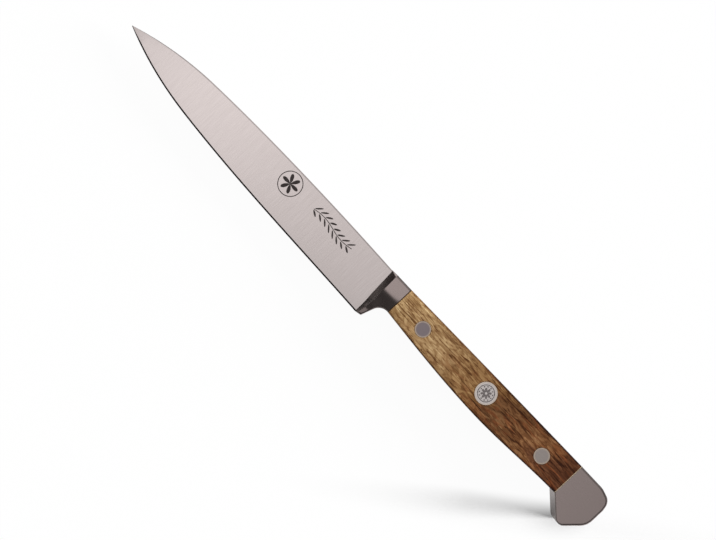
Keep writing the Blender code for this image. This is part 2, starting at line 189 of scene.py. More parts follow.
def roundedLoop(corners, inset):
    # Points round a polygon of (x, y, radius, move) corners, counterclockwise. The side from each
    # corner shifts inwards by its move times inset, and two arcs that don't both fit share a side.
    count = len(corners)
    places = [Vector(corner[:2]) for corner in corners]
    along = [(places[(i + 1) % count] - places[i]).normalized() for i in range(count)]
    starts = [
        places[i] + Vector((-along[i].y, along[i].x)) * inset * corners[i][3]
        for i in range(count)
    ]
    spots, turns, radii = [], [], []
    for i in range(count):
        before, after = along[i - 1], along[i]
        turn = math.atan2(before.x * after.y - before.y * after.x, before.dot(after))
        offset = starts[i] - starts[i - 1]
        reach = (offset.x * after.y - offset.y * after.x) / math.sin(turn)
        spots.append(starts[i - 1] + before * reach)
        turns.append(turn)
        radii.append(corners[i][2] - math.copysign(inset, turn) if corners[i][2] else 0)
    tangents = [radius * math.tan(abs(turn) / 2) for radius, turn in zip(radii, turns)]
    room = []
    for i in range(count):
        side = (spots[(i + 1) % count] - spots[i]).length
        room.append(side / max(tangents[i] + tangents[(i + 1) % count], side))
    points = []
    for i in range(count):
        if radii[i] == 0:
            points.append(spots[i])
            continue
        share = min(room[i - 1], room[i])
        first = spots[i] - along[i - 1] * tangents[i] * share
        normal = Vector((-along[i - 1].y, along[i - 1].x)) * math.copysign(1, turns[i])
        centre = first + normal * radii[i] * share
        for angle in spread(0, turns[i], 2 * handle["roundSteps"]):
            points.append(centre + Matrix.Rotation(angle, 2) @ (first - centre))
    return points


def roundDrop(distance, radius):
    # how far a rounded rim lies under the flat side, at a distance in from the outline
    short = clamped(radius - distance, 0, radius)
    return radius - math.sqrt(radius * radius - short * short)


blade = {
    "tipBlunting": 0.15 * mm,
    "pointLength": 36 * mm,
    "spineAtPoint": 7.24 * mm,
    "spineAtCrown": 8.64 * mm,
    "crownFromTip": 92 * mm,
    "spineAtHeel": 8.1 * mm,
    "edgeAtPoint": 8.15 * mm,
    "edgeAtHeel": 11.9 * mm,
    "spineSlopes": (0.344, 0.06, 0, -0.028),
    "edgeSlopes": (-0.38, -0.092, -0.03),
    "thicknessAtHeel": 2.4 * mm,
    "thicknessAtTip": 0.9 * mm,
    "flankBulge": 0.12 * mm,
    "bevelWidth": 0.6 * mm,
    "bevelThickness": 0.5 * mm,
    "bevelShare": 0.9,  # the bevel's shoulder stays under this share of the spine's thickness
    "spineRoundWidth": 0.7 * mm,  # the spine's long edges are ground over
    "spineRoundDrop": 0.45 * mm,
    "spineRoundShare": 1 / 3,  # and by at most this share of the thickness
    "bite": 0.6 * mm,  # how far the blade runs into the bolster
    "edgeLift": 0.45 * mm,
    "stations": 130,
    "crowding": 1.6,  # power by which the stations crowd towards the tip
    "flankSteps": 14,
}

bladeSpine = curveThrough((
    (0, 0, blade["spineSlopes"][0]),
    (blade["pointLength"], blade["spineAtPoint"], blade["spineSlopes"][1]),
    (blade["crownFromTip"], blade["spineAtCrown"], blade["spineSlopes"][2]),
    (handle["bladeLength"], blade["spineAtHeel"], blade["spineSlopes"][3]),
))
bladeEdge = curveThrough((
    (0, 0, blade["edgeSlopes"][0]),
    (blade["pointLength"], -blade["edgeAtPoint"], blade["edgeSlopes"][1]),
    (handle["bladeLength"], -blade["edgeAtHeel"], blade["edgeSlopes"][2]),
))


def bladeSection(x, lean, lift=0):
    # a ring round the blade: honed bevel, slightly bulging flank and rounded spine
    spine, edge = bladeSpine(x), bladeEdge(x) + lift
    thick = blade["thicknessAtTip"] + (
        blade["thicknessAtHeel"] - blade["thicknessAtTip"]
    ) * min(x / handle["bladeLength"], 1)
    nearTip = min((spine - edge) / (blade["spineAtPoint"] + blade["edgeAtPoint"]), 1)
    top = thick / 2 * math.sqrt(nearTip)
    shoulder = min(blade["bevelThickness"] / 2, blade["bevelShare"] * top)
    bevelWidth = blade["bevelWidth"] * 2 * shoulder / blade["bevelThickness"]
    bevel = edge + min(bevelWidth, (spine - edge) / 2)
    roundWidth = blade["spineRoundWidth"] * nearTip
    roundDown = min(blade["spineRoundDrop"], blade["spineRoundShare"] * thick) * nearTip
    side = []
    for share in spread(0, 1, blade["flankSteps"]):
        bulge = blade["flankBulge"] * arch(share) * nearTip
        level = shoulder + (top - shoulder) * share + bulge
        side.append((bevel + (spine - roundWidth - bevel) * share, level))
    for down, back in roundedEdge(roundDown, roundWidth)[1:]:
        side.append((spine - back, top - down))
    outline = [(edge, 0)] + side + [(y, -z) for y, z in reversed(side)]
    return [(x - bolster["lean"] * y * lean, y, z) for y, z in outline]


bolster = {
    "lean": 0.07,  # the front line leans back this much per depth below the spine
    "rampBite": 0.02 * mm,
    "rootShare": 0.25,  # the ramp starts inside the blade, at this share of its thickness
    "rampLength": 2.3 * mm,
    "rampLean": 0.04,  # the line where the ramp ends leans less than the front line
    "rampShare": 0.44,  # and the ramp takes at most this share of the bolster's length there
    "rampBendRun": 0.55,
    "rampBendRise": 0.7,
    "rampStraight": (-2 * mm, -6 * mm),  # between these heights its bend fades out
    "fullWidthHeight": 2.2 * mm,  # the side starts to thin below this height
    "thinDepth": 8.3 * mm,  # and from this depth on it only tapers by the guard's slope
    "guardThickness": 2.6 * mm,
    "guardSlope": 0.16,
    "swell": 2.0,  # power by which the thin side swells to the scales
    "rimRounding": 0.6 * mm,
    "rearShare": 0.25,  # the rear edge is rounded over at most this share of the length there
    "heelStep": 0.02 * mm,
    "footLength": 3.35 * mm,
    "footRise": 0.5 * mm,
    "footRadius": 0.6 * mm,
    "rearLean": math.radians(18),
    "fingerRadius": 4.4 * mm,
    "rampSteps": 12,
    "sideSteps": 26,
    "rowHeight": 0.3 * mm,
}


def bolsterFront(y):
    return handle["bladeLength"] - bolster["lean"] * y


def rampEnd(y):
    return handle["bladeLength"] + bolster["rampLength"] - bolster["rampLean"] * y


def makeBlade():
    start, steps = blade["tipBlunting"], blade["stations"] // 2
    run = blade["pointLength"] - start
    point = [start + run * share ** blade["crowding"] for share in spread(0, 1, steps)]
    body = spread(blade["pointLength"], handle["bladeLength"], steps)[1:]
    leanRun = handle["bladeLength"] - blade["crownFromTip"]
    rings = [bladeSection(x, smooth((x - blade["crownFromTip"]) / leanRun)) for x in point + body]
    rings.append(bladeSection(handle["bladeLength"] + blade["bite"], 1, blade["edgeLift"]))
    return skin("blade", rings)


def bolsterRim():
    # the bolster's outline from the side, from the heel round the finger guard to the scales
    depth = blade["edgeAtHeel"] - bolster["heelStep"]
    footDepth = depth - bolster["footRise"]
    foot = handle["bladeLength"] + bolster["footLength"]
    throat = foot + (footDepth - handle["bellyAtBolster"]) * math.tan(bolster["rearLean"])
    start = bolsterFront(-depth) + bolster["rampBite"]
    outline = roundedLoop((
        (start, -depth, 0, 0),
        (foot, -footDepth, bolster["footRadius"], 0),
        (throat, -handle["bellyAtBolster"], bolster["fingerRadius"], 0),
        (scalesStart, -handle["bellyAtBolster"], 0, 0),
        (scalesStart, handle["spineAtBolster"], 0, 0),
        (start, handle["spineAtBolster"], 0, 0),
    ), 0)
    return outline[:-2]


def bolsterSide(x, y, rim):
    # half thickness behind the ramp: full at the scales, thinning down to the finger guard
    full, slope = bolster["fullWidthHeight"], bolster["guardSlope"]
    guard = bolster["guardThickness"] / 2 + slope * (full + blade["edgeAtHeel"])
    fullShare = smooth((y + bolster["thinDepth"]) / (full + bolster["thinDepth"]))
    thinned = guard + (half - guard) * fullShare - slope * (full - y) * (1 - fullShare)
    share = clamped((x - rampEnd(y)) / (scalesStart - rampEnd(y)))
    joint = half - relief(scalesStart, y)
    flat = thinned + (joint - thinned) * share ** bolster["swell"]
    rounding = min(bolster["rimRounding"], flat / 2)
    spot = Vector((x, y))
    away = []
    for near, far in zip(rim, rim[1:]):
        side = far - near
        share = (spot - near).dot(side) / side.length_squared
        away.append((near + side * clamped(share) - spot).length)
    spine = handle["edgeRounding"]
    return flat - roundDrop(min(away), rounding) - roundDrop(handle["spineAtBolster"] - y, spine)


def bolsterRing(y, rear, rim):
    front = bolsterFront(y) - bolster["rampBite"]
    rounding = min(handle["edgeRounding"], bolster["rearShare"] * (rear - front))
    upBlade = (y + blade["edgeAtHeel"]) / (blade["spineAtHeel"] + blade["edgeAtHeel"])
    thin = blade["bevelThickness"] + (blade["thicknessAtHeel"] - blade["bevelThickness"]) * upBlade
    root = bolster["rootShare"] * thin
    run = min(rampEnd(y) - front, (rear - front) * bolster["rampShare"])
    top = bolsterSide(front + run, y, rim)
    bendRun, bendRise = bolster["rampBendRun"], bolster["rampBendRise"]
    start, end = bolster["rampStraight"]
    bendRise += (bendRun - bendRise) * smooth((y - start) / (end - start))
    upper = []
    for t in spread(0, 1, bolster["rampSteps"]):
        along = 2 * t * (1 - t) * bendRun + t * t
        climb = 2 * t * (1 - t) * bendRise + t * t
        upper.append((front + run * along, root + (top - root) * climb))
    flat = spread(front + run, rear - rounding, bolster["sideSteps"])[1:]
    edge = [rear - drop for inset, drop in roundedEdge(rounding, rounding)[1:]]
    upper += [(x, bolsterSide(x, y, rim)) for x in flat + edge]
    return [(x, y, z) for x, z in upper] + [(x, y, -z) for x, z in reversed(upper)]


def makeBolster():
    rim = bolsterRim()
    belly = [inset - handle["bellyAtBolster"] for inset, drop in handleEdge]
    spine = [handle["spineAtBolster"] - drop for inset, drop in handleEdge]
    steps = math.ceil((spine[0] - belly[-1]) / bolster["rowHeight"])
    rows = []
    for near, far in zip(rim[:-2], rim[1:-1]):
        cuts = math.ceil((far.y - near.y) / bolster["rowHeight"])
        rows += [(p.y, p.x) for p in (near.lerp(far, share) for share in spread(0, 1, cuts)[:-1])]
    rows += [(y, scalesStart) for y in belly + spread(belly[-1], spine[0], steps)[1:-1] + spine]
    return skin("bolster", [bolsterRing(y, rear, rim) for y, rear in rows])


butt = {
    "shoulderFromEnd": 5.8 * mm,  # where the spine starts to fall
    "shoulderRadius": 6.5 * mm,
    "cornerFromEnd": 0.8 * mm,  # the tighter bend between spine and end
    "cornerHeight": 7.95 * mm,
    "cornerRadius": 4 * mm,
    "uprightTop": 4.1 * mm,
    "uprightRadius": 6 * mm,
    "slantDepth": 3.75 * mm,
    "slantRadius": 6.5 * mm,
    "beakFromEnd": 7.64 * mm,
    "beakDepth": 12.0 * mm,
    "beakRadius": 3.0 * mm,
    "throatSharpness": 0.35,  # the finger side's edge is rounded by this share of the others
}


def makeButt():
    corners = (
        (scalesEnd, -handle["bellyAtButt"], 0, butt["throatSharpness"]),
        (buttEnd - butt["beakFromEnd"], -butt["beakDepth"], butt["beakRadius"], 1),
        (buttEnd, -butt["slantDepth"], butt["slantRadius"], 1),
        (buttEnd, butt["uprightTop"], butt["uprightRadius"], 1),
        (buttEnd - butt["cornerFromEnd"], butt["cornerHeight"], butt["cornerRadius"], 1),
        (buttEnd - butt["shoulderFromEnd"], handle["spineAtButt"], butt["shoulderRadius"], 1),
        (scalesEnd, handle["spineAtButt"], 0, 0),
    )
    upper = [(inset, half - drop) for inset, drop in handleEdge]
    levels = [(inset, -z) for inset, z in reversed(upper)] + upper
    rings = [[(*spot, z) for spot in roundedLoop(corners, inset)] for inset, z in levels]
    return skin("buttCap", rings)


tang = {
    "thickness": 3.5 * mm,
    "bite": 1.5 * mm,
    "stations": 60,
}


def makeTang():
    thick = tang["thickness"] / 2
    rings = []
    for x in spread(scalesStart - tang["bite"], scalesEnd + tang["bite"], tang["stations"]):
        low, high = handleBelly(x), handleSpine(x)
        rings.append([(x, low, -thick), (x, high, -thick), (x, high, thick), (x, low, thick)])
    return skin("tang", rings)


scales = {
    "jointGap": 0.05 * mm,  # hairline between the wood and the steel
    "faceDrop": 0.03 * mm,  # the wood has shrunk this far below the steel
    "stations": 120,
    "topSteps": 20,
}


def makeScale(name):
    gap = scales["jointGap"]
    inner = tang["thickness"] / 2 + gap
    top = half - scales["faceDrop"]
    rings = []
    for x in spread(scalesStart + gap, scalesEnd - gap, scales["stations"]):
        low, high = handleBelly(x), handleSpine(x)
        belly = [(low + inset, top - drop) for inset, drop in handleEdge]
        spine = [(high - inset, top - drop) for inset, drop in reversed(handleEdge)]
        across = spread(belly[-1][0], spine[0][0], scales["topSteps"])[1:-1]
        outline = [(low, inner)] + belly + [(y, top) for y in across] + spine + [(high, inner)]
        rings.append([(x, y, max(z - relief(x, y), inner)) for y, z in outline])
    return skin(name, rings)


rivets = {
    "smallHead": 6.0 * mm,
    "coinHead": 8.5 * mm,
    "headThickness": 1.2 * mm,
    "shank": 4.0 * mm,
    "bore": 2.4 * mm,
    "boreDepth": 8.0 * mm,
    "clearance": 0.3 * mm,
    "headClearance": 0.05 * mm,  # a hairline round each head
    "rimChamfer": 0.08 * mm,
    "places": (
        ("front_rivet", scalesStart + 13.2 * mm, 1.5 * mm, "smallHead"),
        ("middle_rivet", scalesStart + 45.4 * mm, 2.3 * mm, "coinHead"),
        ("rear_rivet", scalesEnd - 12.8 * mm, 1.5 * mm, "smallHead"),
    ),
}

# The coin's generic ornament: a ring, a rosette of petals and a ring of dots, sunk into the face
coin = {
    "petals": 8,
    "petalLength": 2.0 * mm,
    "petalHollow": 0.5 * mm,
    "petalPower": 0.7,  # below 1 the petals are blunter
    "dots": 12,
    "dotRing": 2.45 * mm,
    "dotRadius": 0.2 * mm,
    "ringRadius": 3.05 * mm,
    "ringWidth": 0.1 * mm,
    "depth": 0.12 * mm,
    "rings": 60,
    "spokes": 192,
}


def headProfile(radius, under, face):
    chamfer = rivets["rimChamfer"]
    return [(radius, under), (radius, face - chamfer), (radius - chamfer, face)]


def barrelProfile(headDiameter):
    # from the bore's floor out and round the shank, and up to the face's rim
    shank, bore = rivets["shank"] / 2, rivets["bore"] / 2
    under = half - rivets["headThickness"]
    end = rivets["clearance"] - under
    floor = end + rivets["boreDepth"]
    profile = [(0, floor), (bore, floor), (bore, end), (shank, end), (shank, under)]
    return profile + headProfile(headDiameter / 2, under, half)


def makeBarrel(headDiameter):
    return turned("rivetBarrel", barrelProfile(headDiameter) + [(0, half)])


def makePost(headDiameter):
    head, post = headDiameter / 2, rivets["bore"] / 2 - rivets["clearance"]
    under = half - rivets["headThickness"]
    top = rivets["clearance"] - under + rivets["boreDepth"] - rivets["clearance"]
    rim = [(r, -z) for r, z in reversed(headProfile(head, under, half))]
    return turned("rivetPost", [(0, -half)] + rim + [(post, -under), (post, top), (0, top)])


def coinSink(radius, angle):
    # 1 where the coin's ornament is sunk, 0 on its face
    hollow = coin["petalHollow"]
    lobe = abs(math.cos(coin["petals"] * angle / 2)) ** coin["petalPower"]
    inPetal = hollow < radius < hollow + (coin["petalLength"] - hollow) * lobe
    onRing = abs(radius - coin["ringRadius"]) < coin["ringWidth"]
    step = 2 * math.pi / coin["dots"]
    off = (angle / step - round(angle / step)) * step * coin["dotRing"]
    onDot = math.hypot(radius - coin["dotRing"], off) < coin["dotRadius"]
    return 1.0 if inPetal or onRing or onDot else 0.0


def makeCoinBarrel():
    # the barrel again, its face meshed finely enough to carry the ornament
    profile = barrelProfile(rivets["coinHead"])
    flat = profile[-1][0]
    profile += [(flat * (1 - i / coin["rings"]), half) for i in range(1, coin["rings"])]
    mesh = turned("coinBarrel", profile + [(0, half)], coin["spokes"])
    underFace = half - rivets["rimChamfer"] / 2
    for vertex in mesh.vertices:
        x, y, z = vertex.co
        if z > underFace:
            vertex.co.z -= coin["depth"] * coinSink(math.hypot(x, y), math.atan2(y, x))
    return mesh


def plug(tree, socket, value):
    # a value is set, and another node's output is linked
    if isinstance(value, bpy.types.NodeSocket):
        tree.links.new(value, socket)
    else:
        socket.default_value = value


def addNode(tree, kind, inputs=None, out=0, **settings):
    # adds a shader node with its settings and inputs, and gives one of its outputs
    node = tree.nodes.new("ShaderNode" + kind)
    for key, value in settings.items():
        setattr(node, key, value)
    for key, value in (inputs or {}).items():
        plug(tree, node.inputs[key], value)
    return node.outputs[out]


def maths(tree, operation, *values):
    return addNode(tree, "Math", dict(enumerate(values)), operation=operation)


def vectorMaths(tree, operation, *values):
    return addNode(tree, "VectorMath", dict(enumerate(values)), operation=operation)


def axisOf(tree, way, axis):
    return addNode(tree, "SeparateXYZ", {0: way}, out=axis)


def lengthOf(tree, way, weights):
    # the length of a vector after each of its parts is weighted
    weighted = vectorMaths(tree, "MULTIPLY", way, weights)
    return addNode(tree, "VectorMath", {0: weighted}, out="Value", operation="LENGTH")


def fade(tree, value, start, end, first=0.0, last=1.0, soft=False):
    # runs from first to last while the value runs from start to end
    return addNode(tree, "MapRange", {
        "Value": value, "From Min": start, "From Max": end, "To Min": first, "To Max": last,
    }, interpolation_type="SMOOTHSTEP" if soft else "LINEAR")


def noiseOver(tree, place, sizes, detail, roughness, distortion=0.0, shift=(0, 0, 0)):
    # noise stretched to sizes in mm along x, y and z
    moved = vectorMaths(tree, "MULTIPLY_ADD", place, [1 / size for size in sizes], shift)
    return addNode(tree, "TexNoise", {
        "Vector": moved, "Scale": 1.0, "Detail": detail, "Roughness": roughness,
        "Distortion": distortion,
    })


def linear(hexColour):
    # an sRGB hex colour as the linear values that a shader takes
    shares = [int(hexColour[i : i + 2], 16) / 255 for i in (1, 3, 5)]
    return (*[c / 12.92 if c <= 0.04045 else ((c + 0.055) / 1.055) ** 2.4 for c in shares], 1)


def tinted(tree, colour, *layers):
    # lays sRGB hex colours over a colour, each by its own share
    for share, tint in layers:
        colour = addNode(tree, "Mix", {
            0: share, 6: colour, 7: linear(tint),
        }, out=2, data_type="RGBA")
    return colour


def newMaterial(name):
    # a Principled material, and the piece's own place in millimetres to draw its patterns by
    material = bpy.data.materials.new(name)
    material.use_nodes = True
    tree = material.node_tree
    place = addNode(tree, "TexCoord", out="Object")
    inMm = addNode(tree, "VectorMath", {0: place, "Scale": 1 / mm}, operation="SCALE")
    return material, tree, tree.nodes["Principled BSDF"].inputs, inMm


def setSurface(tree, shader, colour, roughness, height, depth, strength=1.0):
    # the relief rises by the depth while the height runs from 0 to 1
    bump = addNode(tree, "Bump", {"Height": height, "Distance": depth, "Strength": strength})
    for name, value in (("Base Color", colour), ("Roughness", roughness), ("Normal", bump)):
        plug(tree, shader[name], value)


groundSteel = {
    "colour": "#C6BCBA",
    "darker": "#BDB3B1",
    # painted shade: the bevel that faces the edge is painted this dark
    "paintedBevelShade": "#6A6362",
    "etched": "#4C4544",
    "roughness": 0.23,
    "etchedRoughness": 0.25,  # more than the ground steel
    "bevelLean": (-0.15, -0.3),  # the normal's y from which the bevel starts and is full
    # real 0.05 mm grinding lines would not show, so they are drawn coarser
    "lineSizes": (0.3, 9.0, 9.0),  # mm, long across the blade
    "lineNoise": (3.0, 0.6),  # detail and roughness
    "lineRange": (0.3, 0.7),  # the noise from which the darker tone starts and is full
    "lineDepth": 0.0018 * mm,
    "rosettePlace": (81.5, 2.6, 0),  # mm, a generic etched rosette in a ring
    "rosettePetals": 6,
    "rosetteRadius": 3.7,
    "ringRadius": 4.6,
    "ringWidth": 0.16,
    "sprigPlace": (94.0, 2.6, 0),  # mm, and a generic etched sprig of leaves
    "sprigLength": 20.0,
    "sprigWave": 0.7,
    "leafSpacing": 2.5,
    "leafSlant": 1.1,
    "leafLength": 0.95,
    "leafWidth": 0.5,
    "leafReach": 1.25,
    "stemWidth": 0.14,
}


def makeGroundSteel():
    # martensitic stainless, belt-ground across the blade: soft satin with fine crosswise lines
    material, tree, shader, place = newMaterial("beltGroundStainless")
    lines = noiseOver(tree, place, groundSteel["lineSizes"], *groundSteel["lineNoise"])

    # the rosette: petals round a centre, inside a ring
    spot = vectorMaths(tree, "SUBTRACT", place, groundSteel["rosettePlace"])
    radius = lengthOf(tree, spot, (1, 1, 0))
    angle = maths(tree, "ARCTAN2", axisOf(tree, spot, "Y"), axisOf(tree, spot, "X"))
    turns = maths(tree, "MULTIPLY", angle, groundSteel["rosettePetals"] / 2)
    lobe = maths(tree, "ABSOLUTE", maths(tree, "COSINE", turns))
    reach = maths(tree, "MULTIPLY", lobe, groundSteel["rosetteRadius"])
    petals = maths(tree, "LESS_THAN", radius, reach)
    ring = maths(tree, "COMPARE", radius, groundSteel["ringRadius"], groundSteel["ringWidth"])

    # the sprig: a wavy stem with slanted pairs of leaves
    spot = vectorMaths(tree, "SUBTRACT", place, groundSteel["sprigPlace"])
    across, up = axisOf(tree, spot, "X"), axisOf(tree, spot, "Y")
    turns = maths(tree, "MULTIPLY", across, 2 * math.pi / groundSteel["sprigLength"])
    wave = maths(tree, "SINE", turns)
    offStem = maths(tree, "MULTIPLY_ADD", wave, -groundSteel["sprigWave"], up)
    away = maths(tree, "ABSOLUTE", offStem)
    stem = maths(tree, "LESS_THAN", away, groundSteel["stemWidth"])
    slanted = maths(tree, "MULTIPLY_ADD", away, -groundSteel["leafSlant"], across)
    toNext = groundSteel["leafSpacing"] / 2
    inLeaf = maths(tree, "WRAP", slanted, toNext, -toNext)
    outward = maths(tree, "SUBTRACT", away, groundSteel["leafReach"])
    leaf = addNode(tree, "CombineXYZ", {0: inLeaf, 1: outward})
    leaf = lengthOf(tree, leaf, (1 / groundSteel["leafWidth"], 1 / groundSteel["leafLength"], 0))
    marks = maths(tree, "MAXIMUM", stem, maths(tree, "LESS_THAN", leaf, 1.0))
    begun = maths(tree, "GREATER_THAN", across, 0.0)
    ended = maths(tree, "LESS_THAN", across, groundSteel["sprigLength"])
    for limit in (begun, ended):
        marks = maths(tree, "MULTIPLY", marks, limit)
    for mark in (petals, ring):
        marks = maths(tree, "MAXIMUM", marks, mark)
    front = maths(tree, "GREATER_THAN", axisOf(tree, place, "Z"), 0.0)
    marks = maths(tree, "MULTIPLY", marks, front)

    # the honed bevel is the one face that leans far towards the edge, and there the steel is
    # painted dark: a painted shade for the dark that the bevel reflects
    lean = axisOf(tree, addNode(tree, "TexCoord", out="Normal"), "Y")
    paintedBevelShade = fade(tree, lean, *groundSteel["bevelLean"])
    tone = fade(tree, lines, *groundSteel["lineRange"])
    colour = tinted(
        tree, linear(groundSteel["colour"]), (tone, groundSteel["darker"]),
        (marks, groundSteel["etched"]), (paintedBevelShade, groundSteel["paintedBevelShade"]),
    )
    rough = maths(
        tree, "MULTIPLY_ADD", marks, groundSteel["etchedRoughness"], groundSteel["roughness"],
    )
    setSurface(tree, shader, colour, rough, lines, groundSteel["lineDepth"])
    shader["Metallic"].default_value = 1.0
    return material


# In this steel each pair of limits says where a tint starts and where it is full
buffedSteel = {
    # painted shade: the same steel as the blade, painted darker
    "colour": "#9D8F8C",
    "sideShadeColour": "#675F5C",
    "sideFacing": (0.9, 0.6),  # length of the normal without its y
    "stepPaintedLight": "#F0E6E2",
    "stepFacing": (-0.62, -0.82),  # the normal's x
    "stepTop": (4.5, -1.0),  # mm off the middle, down the step
    "stepFoot": (-9.0, -5.0),  # and up again from its foot
    "crookShadeColour": "#746A67",
    "crookFacing": (-0.15, -0.4),  # the normal's x
    "crookPlace": (-4.0, -7.0),  # mm off the middle
    "roughness": (0.2, 0.28),
    "sideRoughness": 0.25,  # more than the flats
    "scratchSizes": (6.0, 0.3, 0.3),  # mm
    "scratchNoise": (4.0, 0.65),  # detail and roughness
    "scratchRange": (0.3, 0.7),
    "scratchDepth": 0.002 * mm,
}


def makeBuffedSteel():
    # the same stainless, brushed and then buffed, with faint lengthwise scratches; its colour is
    # painted darker than the blade's, a painted shade
    material, tree, shader, place = newMaterial("buffedStainless")
    scratches = noiseOver(tree, place, buffedSteel["scratchSizes"], *buffedSteel["scratchNoise"])
    rough = fade(tree, scratches, *buffedSteel["scratchRange"], *buffedSteel["roughness"])
    facing = addNode(tree, "TexCoord", out="Normal")
    y, ahead = axisOf(tree, place, "Y"), axisOf(tree, facing, "X")
    # the upright sides round the handle are less buffed, so rougher than the flats, and painted
    # darker: a painted shade for the shadowed floor they reflect
    upright = fade(tree, lengthOf(tree, facing, (1, 0, 1)), *buffedSteel["sideFacing"])
    rough = maths(tree, "MULTIPLY_ADD", upright, buffedSteel["sideRoughness"], rough)
    # the step down to the blade is painted much lighter where it faces the tip: painted light, so
    # that the dark it reflects comes out grey
    step = fade(tree, ahead, *buffedSteel["stepFacing"])
    for limits in (buffedSteel["stepTop"], buffedSteel["stepFoot"]):
        step = maths(tree, "MULTIPLY", step, fade(tree, y, *limits))
    # at the foot of the step, where it faces the tip, the steel is painted darker: a painted shade
    low = fade(tree, y, *buffedSteel["crookPlace"])
    crookShade = maths(tree, "MULTIPLY", low, fade(tree, ahead, *buffedSteel["crookFacing"]))
    colour = tinted(
        tree, linear(buffedSteel["colour"]), (upright, buffedSteel["sideShadeColour"]),
        (step, buffedSteel["stepPaintedLight"]), (crookShade, buffedSteel["crookShadeColour"]),
    )
    setSurface(tree, shader, colour, rough, scratches, buffedSteel["scratchDepth"])
    shader["Metallic"].default_value = 1.0
    return material


oak = {
    # tone of the wood by place along the knife, in mm: tan, then dark brown behind the coin rivet
    "tones": (
        (139, "#DCBA88"), (152, "#C8A678"), (164, "#C2A073"), (168, "#AF8A5E"), (183, "#AC8558"),
        (186, "#936D46"), (189, "#7D5939"), (209, "#9B6E48"), (215, "#754B31"), (228, "#613A24"),
    ),
    "toneBow": 0.12,  # mm that the tones lag by, per square mm off the middle
    "toneDrift": 9.0,  # mm that they wander along the handle
    "change": (165.0, 195.0),  # mm, from in front of the change of tone to behind it
    "brown": (1.0, 1.29, 1.58),  # as the wood darkens, green and blue fall faster than red
    # every layer: length and width in mm, detail, distortion, noise from and to, and its share
    "grain": {
        "clouds": (16, 4.5, 2.0, 0.3, 0.35, 0.65, 0.16),
        "mottling": (5, 2.0, 2.0, 1.6, 0.4, 0.6, 0.36),
        "streaks": (12, 1.0, 1.5, 0.8, 0.57, 0.63, 0.6),
        "hairs": (8, 0.45, 2.0, 0.8, 0.57, 0.63, 0.4),
        "pores": (3, 0.45, 1.0, 0.4, 0.64, 0.68, 0.5),
        "lightStreaks": (8, 1.2, 2.0, 0.9, 0.54, 0.65, -0.4),
    },
    "warmth": (9, 1.8, 1.0, 1.0, 0.52, 0.64, 0.55),
    "drift": (20, 4, 2.0, 0.3, 0.3, 0.7),
    "warmthTurn": 7,  # the noise of these two lies this many shifts away
    "driftTurn": 9,
    "layerShift": (3.7, 1.3, 0),  # from each layer's noise to the next one's
    "noiseRoughness": 0.55,
    "warm": "#8E4F2A",
    "warmthInFront": 0.35,  # share of the warmth in front of the change of tone
    "grainLean": math.radians(1),
    # darker towards the belly and the spine: mm off the middle from and to, and what is left
    "sideTones": ((1.0, -3.5, 1.0, 0.92), (3.0, 7.0, 1.0, 0.84)),
    "resin": "#3F2A18",
    "jointHighlight": "#BFAE92",
    "jointWidth": 0.35,  # mm, dark with resin at the bolster
    "jointHighlightWidth": 0.25,  # mm, a painted highlight, pale along the joint with the butt cap
    "roughness": (0.6, 0.8),  # of the wood and of its open pores
    "specular": 0.2,
    "poreDepth": 0.05 * mm,
    "poreStrength": 0.7,
    # the rounded edges are painted darker, a painted shade: how far up they face, and what is left
    # of the tone
    "paintedEdgeShade": (0.995, 0.8),
    "edgeShadeSides": (-0.5, 0.5),  # the normal's y at the belly and at the spine
    "edgeShadeAtBelly": (0.8, 0.33),  # at the bolster and behind the finger guard
    "guardChange": (141.0, 155.0),  # mm, from the one to the other
    "edgeShadeAtSpine": (0.6, 0.22),  # in front of and behind the change of tone
}


